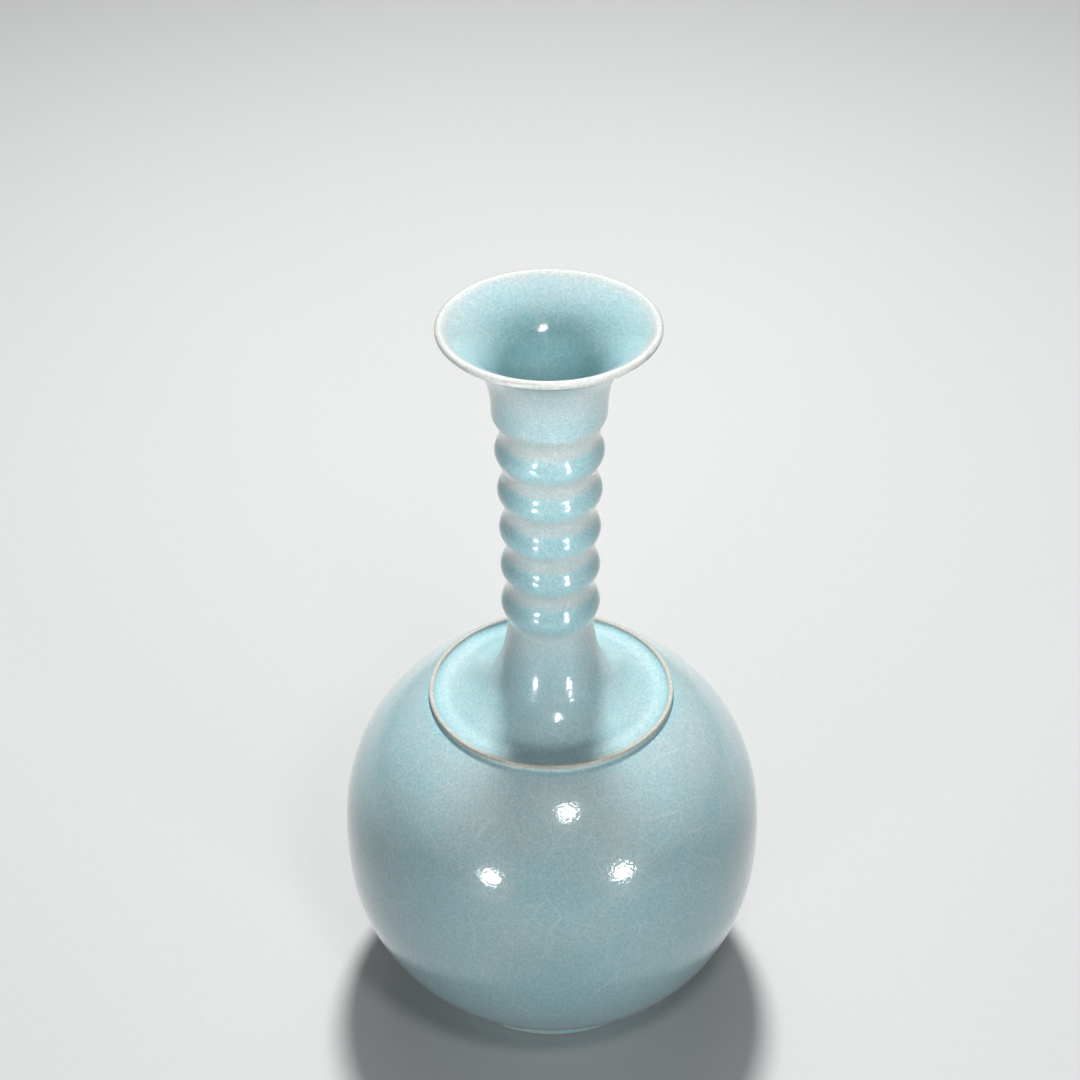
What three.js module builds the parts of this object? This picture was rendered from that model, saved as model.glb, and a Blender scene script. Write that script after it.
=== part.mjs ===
// Long-neck bottle vase with string ribs, celadon glazed stoneware.
// Millimetres, +Z up. The origin is the centre of the foot, on the table.
// The vase is thrown in six sections, stacked on one axis and luted together with clay slip.
import * as THREE from 'three';
import { mergeVertices } from 'three/addons/utils/BufferGeometryUtils.js';

// Heights of the sections, stacked from the table up
const foot_height = 9.2;
const bowl_height = 73.6;
const dome_height = 75;
const stem_height = 39.5;
const rib_foot_height = 10.5;
const rib_pitch = 18.66;
const string_ribs = 5;
const trumpet_height = 37.2;

// Radii of the outside
const foot_radius = 53.2;
const belly_radius = 91.8;
const collar_radius = 52.5;
const stem_radius = 18.15;
const lip_radius = 44.1;

// Foot ring: a standing rim with softened edges
const foot_ring_width = 6.6;
const foot_rim_width = 3.4;
const foot_bevel_height = 1.1;

// Walls and floor
const body_wall = 5;
const floor_thickness = 7;
const neck_wall = 4.65;

// Collar: the upright edge of the dish on the shoulder
const collar_height = 2.9;
const collar_width = 2.1;
const collar_edge_radius = 0.7;
const collar_undercut = 0.4;
const collar_fillet = 1.4;
const collar_inner_drop = 1.3;

// Dish: its lowest circle, the slope up from there, and the root where the slope turns up into the stem
const dish_depth = 2.9;
const dish_rise_width = 6;
const dish_rise_handle = 3.4;
const dish_thickness = 5;
const root_radius = 33;
const root_rise = 4;
const root_slope = 20 * Math.PI / 180;
const slope_handle = 4;
const root_handle = 4;
const sweep_stem_handle = 14;
const under_inset = 4;
const under_dish_handle = 13;
const under_stem_handle = 18;

// String ribs of the neck: how far the lowest crest stands out, and the cup beyond it
const rib_step = 2.55;
const cup_step = 2.5;
const rib_depth = 3.48;

// Trumpet mouth with a rolled lip
const lip_roll_radius = 1.7;
const lip_slope = 30 * Math.PI / 180;
const cup_swell = 0.74;
const throat_length = 30;

// Luting slip in a shallow channel in each pair of joint faces
const slip_thickness = 1.2;
const slip_clearance = 0.3;
const channel_width_share = 0.42;

// Shape of the curves: how full they are, without a size of their own
const lower_rise_share = 2.329;
const lower_round_share = 2.121;
const upper_rise_share = 2.348;
const upper_round_share = 2.002;
const rib_round_share = 0.781;
const rib_middle_share = 0.35;
const swell_reach_share = 0.31;
const trumpet_share = 3.15;
const slope_step_share = 0.02;

// Facets
const around = 32;
const body_steps = 11;
const trace_steps = 33;
const wall_steps = 9;
const sweep_steps = 11;
const slope_steps = 4;
const fillet_steps = 3;
const rib_steps = 8;
const bore_steps = 4;
const trumpet_steps = 11;
const edge_steps = 3;
const roll_steps = 7;

// Places that follow from the sizes
const belly_height = foot_height + bowl_height;
const shoulder_height = belly_height + dome_height;
const collar_top_height = shoulder_height + collar_height;
const dish_height = collar_top_height - dish_depth;
const shoulder_joint_height = dish_height - dish_thickness;
const neck_joint_height = shoulder_height + stem_height;
const lowest_rib_height = neck_joint_height + rib_foot_height;
const cup_height = lowest_rib_height + string_ribs * rib_pitch;
const mouth_joint_height = cup_height - rib_pitch / 2;
const lip_height = cup_height + trumpet_height;
const throat_height = mouth_joint_height - throat_length;
const mouth_wall = 2 * lip_roll_radius;
const collar_inner_radius = collar_radius - collar_width;
const dish_low_radius = collar_inner_radius - dish_rise_width;
const dish_under_radius = dish_low_radius - under_inset;
const root_height = dish_height + root_rise;
const bore_radius = stem_radius - neck_wall;
const lowest_rib_radius = stem_radius + rib_step;
const cup_radius = lowest_rib_radius + cup_step;
const lip_centre_radius = lip_radius - lip_roll_radius;
const lip_under_radius = lip_centre_radius + lip_roll_radius * Math.sin(lip_slope);
const lip_under_height = lip_height - lip_roll_radius * Math.cos(lip_slope);

// Finishes
function clay(colour, roughness) {
  return new THREE.MeshStandardMaterial({ color: colour, roughness, metalness: 0 });
}
const celadon = () => clay(0x9fc3c4, 0.12);
const foot_clay = () => clay(0xb9a78f, 0.7);
const raw_slip = () => clay(0xcabfae, 0.9);

// A share from 0 to 1 in even steps, both ends included
function shares(steps) {
  return Array.from({ length: steps + 1 }, (_, i) => i / steps);
}

// A straight run of heights from low to high, or from high to low
function heights(from, to, steps) {
  return shares(steps).map((share) => from + (to - from) * share);
}

// An arc about a centre in the profile plane, angles in turns of a circle
function arc(radius, height, size, from_turn, to_turn, steps) {
  return shares(steps).map((share) => {
    const angle = 2 * Math.PI * (from_turn + (to_turn - from_turn) * share);
    return [radius + size * Math.cos(angle), height + size * Math.sin(angle)];
  });
}

// A cubic curve from one end to the other, pulled by two handles
function swept(start, start_handle, end_handle, end, steps) {
  const curve = new THREE.CubicBezierCurve(
    ...[start, start_handle, end_handle, end].map(([r, z]) => new THREE.Vector2(r, z)));
  return curve.getPoints(steps).map((point) => [point.x, point.y]);
}

// One solid of revolution from a closed profile of [radius, height] points
function turned(name, profile, material) {
  const points = profile.map(([radius, height]) => new THREE.Vector2(Math.max(radius, 0), height));
  const closed = profile[0][0] === 0 ? points : [...points, points[0].clone()];
  const geometry = new THREE.LatheGeometry(closed, around);
  geometry.rotateX(Math.PI / 2);
  geometry.deleteAttribute('normal');
  geometry.deleteAttribute('uv');
  const mesh = new THREE.Mesh(mergeVertices(geometry), material);
  mesh.name = name;
  return mesh;
}

// Outside of the body: superellipse halves through the foot, the belly and the shoulder
function half_body(rise, end_radius, end_height, rise_share, round_share) {
  const end_share = (1 - (end_radius / belly_radius) ** round_share) ** (1 / rise_share);
  const depth = (end_height - belly_height) / end_share;
  return belly_radius * (1 - (rise / depth) ** rise_share) ** (1 / round_share);
}
function body_radius(height) {
  const rise = height - belly_height;
  if (rise < 0) return half_body(rise, foot_radius, foot_height, lower_rise_share, lower_round_share);
  return half_body(rise, collar_radius, shoulder_height, upper_rise_share, upper_round_share);
}

// Inside of a thrown section: the outside moved in along its own normal by the wall
function inside_of(outside, wall, height) {
  const step = wall * slope_step_share;
  const slope = (outside(height + step) - outside(height - step)) / (2 * step);
  const length = Math.hypot(1, slope);
  return [outside(height) - wall / length, height + wall * slope / length];
}
const body_inside = (height) => inside_of(body_radius, body_wall, height);

// The radius where a traced wall crosses a level height
function radius_at(points, height) {
  const crosses = (a, b) => (a[1] - height) * (b[1] - height) <= 0;
  const index = points.findIndex((point, i) => i > 0 && crosses(points[i - 1], point));
  const [before, after] = [points[index - 1], points[index]];
  return before[0] + (after[0] - before[0]) * (height - before[1]) / (after[1] - before[1]);
}

// Outside of the neck: crests joined by round grooves, from the stem up to the cup
function crest_radius(rib) {
  const share = rib / string_ribs;
  const bow = rib_middle_share * 4 * share * (1 - share);
  return lowest_rib_radius + (cup_radius - lowest_rib_radius) * (share - bow);
}
function rib_radius(height) {
  const turn = (height - lowest_rib_height) / rib_pitch;
  const rib = Math.min(Math.max(turn, 0), string_ribs);
  const wave = (1 + Math.cos(2 * Math.PI * turn)) / 2;
  return crest_radius(rib) - rib_depth * (1 - wave ** rib_round_share);
}
function neck_radius(height) {
  if (height >= lowest_rib_height) return rib_radius(height);
  const drop = (lowest_rib_height - height) / (lowest_rib_height - neck_joint_height);
  const wave = (1 + Math.cos(Math.PI * drop)) / 2;
  return stem_radius + (lowest_rib_radius - stem_radius) * wave ** rib_round_share;
}

// Outside of the trumpet: straight out of the cup, then flaring to the rolled lip
function trumpet_radius(height) {
  const share = (height - cup_height) / (lip_under_height - cup_height);
  const swell = cup_swell * (1 - Math.exp(-((share / swell_reach_share) ** 2)));
  const flare = lip_under_radius - cup_radius - cup_swell;
  return cup_radius + swell + flare * share ** trumpet_share;
}

// Outside of the mouth section, and its inside, which follows the outside at an even wall
function mouth_radius(height) {
  return height < cup_height ? neck_radius(height) : trumpet_radius(height);
}
const mouth_inside = (height) => inside_of(mouth_radius, mouth_wall, height);

// Inside of the neck: a straight bore that widens near the top to meet the mouth
const throat_radius = neck_radius(mouth_joint_height) - mouth_wall;
function bore_at(height) {
  const share = Math.max(height - throat_height, 0) / throat_length;
  return bore_radius + (throat_radius - bore_radius) * share ** 2;
}

// A shallow channel in a level joint face, given from the outer to the inner edge
function channel(inner, outer, height, depth) {
  const half = (outer - inner) * channel_width_share / 2;
  const middle = (outer + inner) / 2;
  return [
    [middle + half, height],
    [middle + half, height + depth],
    [middle - half, height + depth],
    [middle - half, height],
  ];
}
function slip_ring(name, inner, outer, height) {
  const half = (outer - inner) * channel_width_share / 2 - slip_clearance;
  const middle = (outer + inner) / 2;
  const [top, bottom] = [height + slip_thickness / 2, height - slip_thickness / 2];
  const profile = [
    [middle - half, bottom],
    [middle + half, bottom],
    [middle + half, top],
    [middle - half, top],
  ];
  return turned(name, profile, raw_slip());
}

// Level joint faces, each with its inner and outer radius
const foot_inner_radius = foot_radius - foot_ring_width;
const lower_inside = heights(belly_height, foot_height, trace_steps).map(body_inside);
const upper_inside = heights(belly_height, shoulder_height, trace_steps).map(body_inside);
const belly_inner_radius = belly_radius - body_wall;
const shoulder_outer_radius = body_radius(shoulder_joint_height);
const shoulder_inner_radius = radius_at([...upper_inside, [0, shoulder_height]], shoulder_joint_height);
const mouth_joint_radius = neck_radius(mouth_joint_height);
const into_upper = slip_thickness / 2;
const into_lower = -slip_thickness / 2;

// Foot ring: turned ring with a flat bare standing rim
function foot_ring() {
  const middle = foot_radius - foot_ring_width / 2;
  const profile = [
    [middle - foot_rim_width / 2, 0],
    [middle + foot_rim_width / 2, 0],
    [foot_radius, foot_bevel_height],
    [foot_radius, foot_height],
    ...channel(foot_inner_radius, foot_radius, foot_height, into_lower),
    [foot_inner_radius, foot_height],
    [foot_inner_radius, foot_bevel_height],
  ];
  return turned('foot_ring', profile, foot_clay());
}

// Lower body: a thrown bowl with a thick flat floor
function lower_body() {
  const floor = foot_height + floor_thickness;
  const wall = lower_inside.filter(([, height]) => height > floor);
  const inside = shares(wall_steps).map((share) => wall[Math.round(share * (wall.length - 1))]);
  const profile = [
    [0, foot_height],
    ...channel(foot_inner_radius, foot_radius, foot_height, into_upper).reverse(),
    ...heights(foot_height, belly_height, body_steps).map((height) => [body_radius(height), height]),
    ...channel(belly_inner_radius, belly_radius, belly_height, into_lower),
    ...inside,
    [radius_at(lower_inside, floor), floor],
    [0, floor],
  ];
  return turned('lower_body', profile, celadon());
}

// Upper body: a thrown dome, open at the shoulder
function upper_body() {
  const wall = upper_inside.filter(([, height]) => height < shoulder_joint_height);
  const inside = shares(wall_steps).map((share) => wall[Math.round((1 - share) * (wall.length - 1))]);
  const outside = heights(belly_height, shoulder_joint_height, body_steps);
  const profile = [
    ...channel(belly_inner_radius, belly_radius, belly_height, into_upper).reverse(),
    ...outside.map((height) => [body_radius(height), height]),
    ...channel(shoulder_inner_radius, shoulder_outer_radius, shoulder_joint_height, into_lower),
    [shoulder_inner_radius, shoulder_joint_height],
    ...inside,
  ];
  return turned('upper_body', profile, celadon());
}

// Shoulder dish: a saucer with an upright edge, swept up into the smooth stem of the neck
function shoulder_dish() {
  const [base, top] = [shoulder_joint_height, neck_joint_height];
  const edge = collar_top_height - collar_edge_radius;
  const collar_wall = collar_radius - collar_undercut;
  const fillet_start = shoulder_height - collar_fillet / 2;
  const low = [dish_low_radius, dish_height];
  const root = [root_radius, root_height];
  const along_slope = (pull) => [
    root_radius + pull * Math.cos(root_slope),
    root_height - pull * Math.sin(root_slope),
  ];
  const profile = [
    [dish_under_radius, base],
    ...channel(shoulder_inner_radius, shoulder_outer_radius, base, into_upper).reverse(),
    ...heights(base, fillet_start, fillet_steps).map((height) => [body_radius(height), height]),
    ...swept([body_radius(fillet_start), fillet_start], [collar_wall, shoulder_height],
      [collar_wall, shoulder_height], [collar_wall, shoulder_height + collar_fillet], fillet_steps).slice(1),
    ...arc(collar_radius - collar_edge_radius, edge, collar_edge_radius, 0, 0.25, edge_steps),
    ...arc(collar_inner_radius + collar_edge_radius, edge, collar_edge_radius, 0.25, 0.5, edge_steps),
    ...swept([collar_inner_radius, edge], [collar_inner_radius, edge - collar_inner_drop],
      [dish_low_radius + dish_rise_handle, dish_height], low, fillet_steps + 1).slice(1),
    ...swept(low, [dish_low_radius - slope_handle, dish_height],
      along_slope(slope_handle), root, slope_steps).slice(1),
    ...swept(root, along_slope(-root_handle),
      [stem_radius, top - sweep_stem_handle], [stem_radius, top], sweep_steps).slice(1),
    ...channel(bore_radius, stem_radius, top, into_lower),
    ...swept([bore_radius, top], [bore_radius, top - under_stem_handle],
      [dish_under_radius - under_dish_handle, base], [dish_under_radius, base], sweep_steps).slice(0, -1),
  ];
  return turned('shoulder_dish', profile, celadon());
}

// Ribbed neck: a thrown tube with five string ribs and a straight bore
function ribbed_neck() {
  const [base, top] = [neck_joint_height, mouth_joint_height];
  const flank = heights(base, lowest_rib_height, rib_steps / 2);
  const ribs = heights(lowest_rib_height, top, rib_steps * (string_ribs - 1) + rib_steps / 2);
  const profile = [
    ...channel(bore_radius, stem_radius, base, into_upper).reverse(),
    ...[...flank, ...ribs.slice(1)].map((height) => [neck_radius(height), height]),
    ...channel(throat_radius, mouth_joint_radius, top, into_lower),
    ...heights(top, throat_height, bore_steps).map((height) => [bore_at(height), height]),
    [bore_radius, base],
  ];
  return turned('ribbed_neck', profile, celadon());
}

// Trumpet mouth: the cup, its flare and the rolled lip
function trumpet_mouth() {
  const base = mouth_joint_height;
  const turn = lip_slope / (2 * Math.PI);
  const cup = heights(base, cup_height, rib_steps / 2);
  const flare = heights(cup_height, lip_under_height, trumpet_steps).slice(1, -1);
  const outside = [...cup, ...flare];
  const profile = [
    ...channel(throat_radius, mouth_joint_radius, base, into_upper).reverse(),
    ...outside.map((height) => [mouth_radius(height), height]),
    ...arc(lip_centre_radius, lip_height, lip_roll_radius, turn - 0.25, turn + 0.25, roll_steps),
    ...outside.slice(1).reverse().map(mouth_inside),
    [throat_radius, base],
  ];
  return turned('trumpet_mouth', profile, celadon());
}

const vase = new THREE.Group();
vase.name = 'long_neck_bottle_vase';
vase.add(
  foot_ring(),
  slip_ring('foot_slip_joint', foot_inner_radius, foot_radius, foot_height),
  lower_body(),
  slip_ring('belly_slip_joint', belly_inner_radius, belly_radius, belly_height),
  upper_body(),
  slip_ring('shoulder_slip_joint', shoulder_inner_radius, shoulder_outer_radius, shoulder_joint_height),
  shoulder_dish(),
  slip_ring('neck_slip_joint', bore_radius, stem_radius, neck_joint_height),
  ribbed_neck(),
  slip_ring('mouth_slip_joint', throat_radius, mouth_joint_radius, mouth_joint_height),
  trumpet_mouth(),
);

export default vase;
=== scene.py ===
# %% [markdown]
# # A long-neck bottle vase, glazed in celadon
#
# The real vase is stoneware. It is thrown on the wheel in six sections: a foot ring, a bowl, a dome, a dish with an
# upright edge, a neck with five string ribs, and a trumpet mouth. The sections are stuck together with clay slip,
# turned true, dipped in a blue-green glaze and fired. This lesson takes the plain model of those sections and gives
# each one its fine outline and its glaze. All sizes are metres, and the vase stands on the origin.

# %% Load the plain model
import math

import bpy
import numpy as np
from mathutils import Matrix, Vector


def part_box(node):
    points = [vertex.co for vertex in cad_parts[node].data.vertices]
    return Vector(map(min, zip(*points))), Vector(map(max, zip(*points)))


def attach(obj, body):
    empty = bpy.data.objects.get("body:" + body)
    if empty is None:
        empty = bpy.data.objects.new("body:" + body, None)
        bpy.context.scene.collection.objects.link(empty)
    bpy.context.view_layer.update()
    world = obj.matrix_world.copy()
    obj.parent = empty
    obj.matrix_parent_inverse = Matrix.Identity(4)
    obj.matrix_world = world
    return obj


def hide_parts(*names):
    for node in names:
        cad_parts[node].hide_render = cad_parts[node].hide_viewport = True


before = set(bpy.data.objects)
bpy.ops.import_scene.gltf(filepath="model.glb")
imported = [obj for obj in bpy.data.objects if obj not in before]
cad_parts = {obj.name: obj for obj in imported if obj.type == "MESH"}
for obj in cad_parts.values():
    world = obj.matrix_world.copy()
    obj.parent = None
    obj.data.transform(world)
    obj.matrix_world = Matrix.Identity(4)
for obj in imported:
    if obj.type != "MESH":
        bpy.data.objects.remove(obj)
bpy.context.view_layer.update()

print("the plain model has", len(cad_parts), "pieces:", ", ".join(sorted(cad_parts)))

# %% [markdown]
# ## Sizes
#
# The sections stand on each other, so the heights of the joints can be read from the boxes of the plain model. What
# no box shows, such as the width of the collar or the depth of a groove, is written here, and every other place in
# the script is worked out from these. The fine outside follows the plain one with two differences of a millimetre:
# the grooves of the neck are shallower, and the sweep from the dish into the stem has a curve of its own. The inside
# of the mouth and its joint keep the plain depth of the grooves, because the plain ring of slip lies there.

# %% Heights of the joints, read from the plain model
MM = 0.001
TINY = MM / 1000


def top_of(node):
    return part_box(node)[1].z


foot_height = top_of("foot_ring")
belly_height = top_of("lower_body")
shoulder_joint_height = top_of("upper_body")
neck_joint_height = top_of("shoulder_dish")
mouth_joint_height = top_of("ribbed_neck")
belly_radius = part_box("upper_body")[1].x
foot_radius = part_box("foot_ring")[1].x
print("joint heights in mm:", [round(height / MM, 1) for height in (
    foot_height, belly_height, shoulder_joint_height, neck_joint_height, mouth_joint_height)])

# %% Sizes that no box shows
body_wall = 5 * MM
floor_thickness = 7 * MM
foot_ring_width = 6.6 * MM
foot_rim_width = 3.4 * MM
foot_bevel_height = 1.1 * MM

collar_radius = 52.5 * MM
collar_height = 2.9 * MM
collar_width = 2.1 * MM
collar_edge_radius = 0.7 * MM
collar_undercut = 0.4 * MM
collar_fillet = 1.4 * MM
collar_inner_drop = 1.3 * MM

dish_depth = 2.9 * MM
dish_thickness = 5 * MM
dish_rise_width = 6 * MM
dish_rise_handle = 3.4 * MM
bend_radius = 25.0 * MM
bend_rise = 13.6 * MM
bend_slope = math.radians(25.5)
dish_handle = 6.8 * MM
below_bend_handle = 5.2 * MM
above_bend_handle = 5.8 * MM
stem_handle = 13.6 * MM
under_inset = 4 * MM
under_dish_handle = 13 * MM
under_stem_handle = 18 * MM

stem_radius = 18.15 * MM
neck_wall = 4.65 * MM
rib_foot_height = 10.5 * MM
rib_pitch = 18.66 * MM
rib_step = 2.55 * MM
cup_step = 2.5 * MM
rib_depth = 2.35 * MM
plain_rib_depth = 3.48 * MM
string_ribs = 5

trumpet_height = 37.2 * MM
throat_length = 30 * MM
cup_swell = 0.74 * MM
lip_radius = 44.1 * MM
lip_roll_radius = 1.7 * MM
lip_slope = math.radians(30)

joint_channel_depth = 0.6 * MM
joint_channel_share = 0.42
print("the collar is", round(2 * collar_radius / MM), "mm across and the lip", round(2 * lip_radius / MM), "mm")

# %% Places that follow from the sizes
foot_inner_radius = foot_radius - foot_ring_width
belly_inner_radius = belly_radius - body_wall
dish_height = shoulder_joint_height + dish_thickness
collar_top_height = dish_height + dish_depth
shoulder_height = collar_top_height - collar_height
collar_inner_radius = collar_radius - collar_width
dish_low_radius = collar_inner_radius - dish_rise_width
dish_under_radius = dish_low_radius - under_inset
bore_radius = stem_radius - neck_wall
lowest_rib_height = neck_joint_height + rib_foot_height
lowest_rib_radius = stem_radius + rib_step
cup_height = lowest_rib_height + string_ribs * rib_pitch
cup_radius = lowest_rib_radius + cup_step
mouth_wall = 2 * lip_roll_radius
lip_height = cup_height + trumpet_height
lip_centre_radius = lip_radius - lip_roll_radius
lip_under_radius = lip_centre_radius + lip_roll_radius * math.sin(lip_slope)
lip_under_height = lip_height - lip_roll_radius * math.cos(lip_slope)
throat_height = mouth_joint_height - throat_length
print("the lip ends", round((lip_height + lip_roll_radius) / MM, 2), "mm up")

# %% [markdown]
# ## Outlines
#
# A thrown pot is a flat outline turned round the wheel's axis, so each section begins as a list of (radius, height)
# points. Three small helpers draw such points: a straight run of heights, an arc and a cubic curve with two handles.

# %% Helpers that draw an outline
def heights(start, end, steps):
    return np.linspace(start, end, steps + 1)


def arc(radius, height, size, from_turn, to_turn, steps):
    angles = 2 * np.pi * np.linspace(from_turn, to_turn, steps + 1)
    return np.stack([radius + size * np.cos(angles), height + size * np.sin(angles)], axis=1)


def swept(start, start_handle, end_handle, end, steps):
    share = np.linspace(0, 1, steps + 1)[:, None]
    pulls = [(1 - share) ** 3, 3 * (1 - share) ** 2 * share, 3 * (1 - share) * share ** 2, share ** 3]
    return sum(pull * np.array(point) for pull, point in zip(pulls, (start, start_handle, end_handle, end)))


# %% [markdown]
# The body is neither a ball nor an egg. Each half is a superellipse, a rounded curve with one exponent for how it
# rises and one for how full it is. Both halves share the widest circle of the belly, so the outline is smooth there.
# An exponent of 2 in both places would give a plain ellipse, and these are a little fuller.

# %% The outline of the body
LOWER_RISE, LOWER_ROUND = 2.329, 2.121
UPPER_RISE, UPPER_ROUND = 2.348, 2.002


def half_body(height, end_radius, end_height, rise, roundness):
    end_share = (1 - (end_radius / belly_radius) ** roundness) ** (1 / rise)
    depth = (end_height - belly_height) / end_share
    return belly_radius * (1 - (np.abs(height - belly_height) / abs(depth)) ** rise) ** (1 / roundness)


def body_radius(height):
    lower = half_body(np.minimum(height, belly_height), foot_radius, foot_height, LOWER_RISE, LOWER_ROUND)
    upper = half_body(np.maximum(height, belly_height), collar_radius, shoulder_height, UPPER_RISE, UPPER_ROUND)
    return np.where(height < belly_height, lower, upper)


def inside_of(outside, wall, height):
    """The inner face of a wall: each outside point, moved in square to the outline."""
    step = wall / 50    # far enough apart to measure a slope, and near enough to be exact
    slope = (outside(height + step) - outside(height - step)) / (2 * step)
    length = np.hypot(1, slope)
    return np.stack([outside(height) - wall / length, height + wall * slope / length], axis=1)


def along(outside, height):
    return np.stack([outside(height), height], axis=1)


print("the body is", round(2 * float(body_radius(shoulder_height)) / MM, 1), "mm across at the collar")

# %% [markdown]
# The neck is a rule too: round crests at an even pitch, with a wide round groove between each pair. The lower crests
# are nearly even, and the upper ones grow towards the cup. RIB_MIDDLE says how much slimmer the middle is than an
# even taper, as a share of the whole growth. The same rule shapes the ribs in the nodes below and the start of the
# mouth above them. The mouth swells a little over the cup and then flares by a steep power.

# %% The outline of the neck and the mouth
RIB_ROUND, RIB_MIDDLE = 1.42, 0.35
SWELL_REACH, TRUMPET_FLARE = 0.31, 3.15


def rib_radius(height, depth=rib_depth):
    turn = (height - lowest_rib_height) / rib_pitch
    share = np.clip(turn, 0, string_ribs) / string_ribs
    crest = lowest_rib_radius + cup_step * (share - RIB_MIDDLE * 4 * share * (1 - share))
    wave = (1 + np.cos(2 * np.pi * turn)) / 2
    return crest - depth * (1 - wave ** RIB_ROUND)


def trumpet_radius(height):
    share = np.maximum(height - cup_height, 0) / (lip_under_height - cup_height)
    swell = cup_swell * (1 - np.exp(-((share / SWELL_REACH) ** 2)))
    return cup_radius + swell + (lip_under_radius - cup_radius - cup_swell) * share ** TRUMPET_FLARE


def mouth_radius(height, depth=rib_depth):
    return np.where(height < cup_height, rib_radius(height, depth), trumpet_radius(height))


def plain_mouth_radius(height):
    return mouth_radius(height, plain_rib_depth)


plain_joint_radius = float(plain_mouth_radius(mouth_joint_height))
throat_radius = plain_joint_radius - mouth_wall
print("the throat is", round(2 * throat_radius / MM, 1), "mm wide")

# %% [markdown]
# ## Turning a section
#
# Glaze is a thick liquid when it melts. It runs off sharp edges, where the pale clay shows through, and gathers in
# hollows, where it is deep and blue. So each run of an outline carries how thick its glaze is, from 0 where it has
# run off to 1 where it has pooled. The turned mesh keeps that as an attribute called glaze, for the material. The
# thicknesses in the runs below were chosen so that the colour of each place comes near the real vase's.

# %% Runs of an outline, glazed or bare
def glazed(points, *thickness, at=None):
    """A run of outline with its glaze thickness, at even steps along the run or at the shares given."""
    points = np.atleast_2d(points)
    length = np.concatenate([[0], np.cumsum(np.hypot(*np.diff(points, axis=0).T))])
    share = length / max(length[-1], TINY)
    places = np.linspace(0, 1, len(thickness)) if at is None else at
    return np.column_stack([points, np.interp(share, places, thickness), np.zeros(len(points))])


def bare(points):
    """A run of outline that is left unglazed."""
    points = np.atleast_2d(points)
    return np.column_stack([points, np.zeros(len(points)), np.ones(len(points))])


def channel(inner, outer, height, depth):
    """The shallow channel that holds the slip in a level joint face, from its outer to its inner edge."""
    half = (outer - inner) * joint_channel_share / 2
    middle = (outer + inner) / 2
    return bare([(middle + half, height), (middle + half, height + depth),
                 (middle - half, height + depth), (middle - half, height)])


# %% [markdown]
# A turned mesh could come from the Screw modifier or the Spin tool. Plain arrays are just as short and keep the
# thickness of each point with it. The outline runs with the clay on its left, so all faces point out of the clay.
# The ring is closed on itself, and a point on the axis becomes one vertex, so no seam or hole is left. Edges that
# turn by more than 30 degrees stay sharp, so the level faces of a joint don't darken the smooth wall beside them.

# %% Turn a closed outline round the axis
AROUND = 256
SHARP_EDGE = math.radians(30)


def turned(name, runs, around=AROUND):
    outline = np.concatenate(runs)
    keep = np.append(True, np.hypot(*np.diff(outline[:, :2], axis=0).T) > TINY)
    outline = outline[keep]
    angles = np.linspace(0, 2 * np.pi, around, endpoint=False)
    vertices, faces, bare_faces, glaze, rings = [], [], [], [], []
    for radius, height, thickness, _ in outline:
        used = angles if radius > 0 else angles[:1]
        rings.append((len(vertices), len(used)))
        vertices.extend((radius * math.cos(angle), radius * math.sin(angle), height) for angle in used)
        glaze.extend([thickness] * len(used))
    for index, (first, count) in enumerate(rings):
        following = (index + 1) % len(rings)
        other, other_count = rings[following]
        if count == other_count == 1:
            continue
        for k in range(around):
            corners = [first + k % count, first + (k + 1) % count,
                       other + (k + 1) % other_count, other + k % other_count]
            faces.append(list(dict.fromkeys(corners)))
            bare_faces.append(max(outline[index, 3], outline[following, 3]) > 0)
    mesh = bpy.data.meshes.new(name)
    mesh.from_pydata(vertices, [], faces)
    mesh.shade_smooth()
    mesh.set_sharp_from_angle(angle=SHARP_EDGE)
    mesh.polygons.foreach_set("material_index", np.array(bare_faces, dtype=np.int32))
    mesh.attributes.new("glaze", "FLOAT", "POINT").data.foreach_set("value", np.array(glaze, dtype=np.float32))
    piece = bpy.data.objects.new(name, mesh)
    bpy.context.scene.collection.objects.link(piece)
    print(name, "has", len(faces), "faces from", len(outline), "outline points")
    return piece


# %% [markdown]
# ## Foot ring
#
# A ring of clay is luted under the bowl and turned to a neat standing edge. Its flat rim is wiped clean of glaze
# before the firing, because glaze that touches the kiln shelf would stick to it. The fine outline rounds the two
# bevels beside the rim. The outer one is thinly glazed, and the inner one is as bare as the rim.

# %% Turn the foot ring
foot_middle = foot_radius - foot_ring_width / 2
rim_outer, rim_inner = foot_middle + foot_rim_width / 2, foot_middle - foot_rim_width / 2
foot_steps = 8
outer_bevel = swept((rim_outer, 0), ((rim_outer + foot_radius) / 2, 0), (foot_radius, foot_bevel_height / 2),
                    (foot_radius, foot_bevel_height), foot_steps)
inner_bevel = swept((foot_inner_radius, foot_bevel_height), (foot_inner_radius, foot_bevel_height / 2),
                    ((rim_inner + foot_inner_radius) / 2, 0), (rim_inner, 0), foot_steps)
foot_ring = turned("fine_foot_ring", [
    glazed(outer_bevel, 0.05, 0.3, 0.45),
    glazed(along(lambda height: np.full_like(height, foot_radius),
                 heights(foot_bevel_height, foot_height, foot_steps)), 0.45, 0.6, 0.8, 1.0),
    channel(foot_inner_radius, foot_radius, foot_height, -joint_channel_depth),
    glazed([(foot_inner_radius, foot_height), (foot_inner_radius, foot_bevel_height)], 0.8, 0.2),
    bare(inner_bevel),
])

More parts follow.
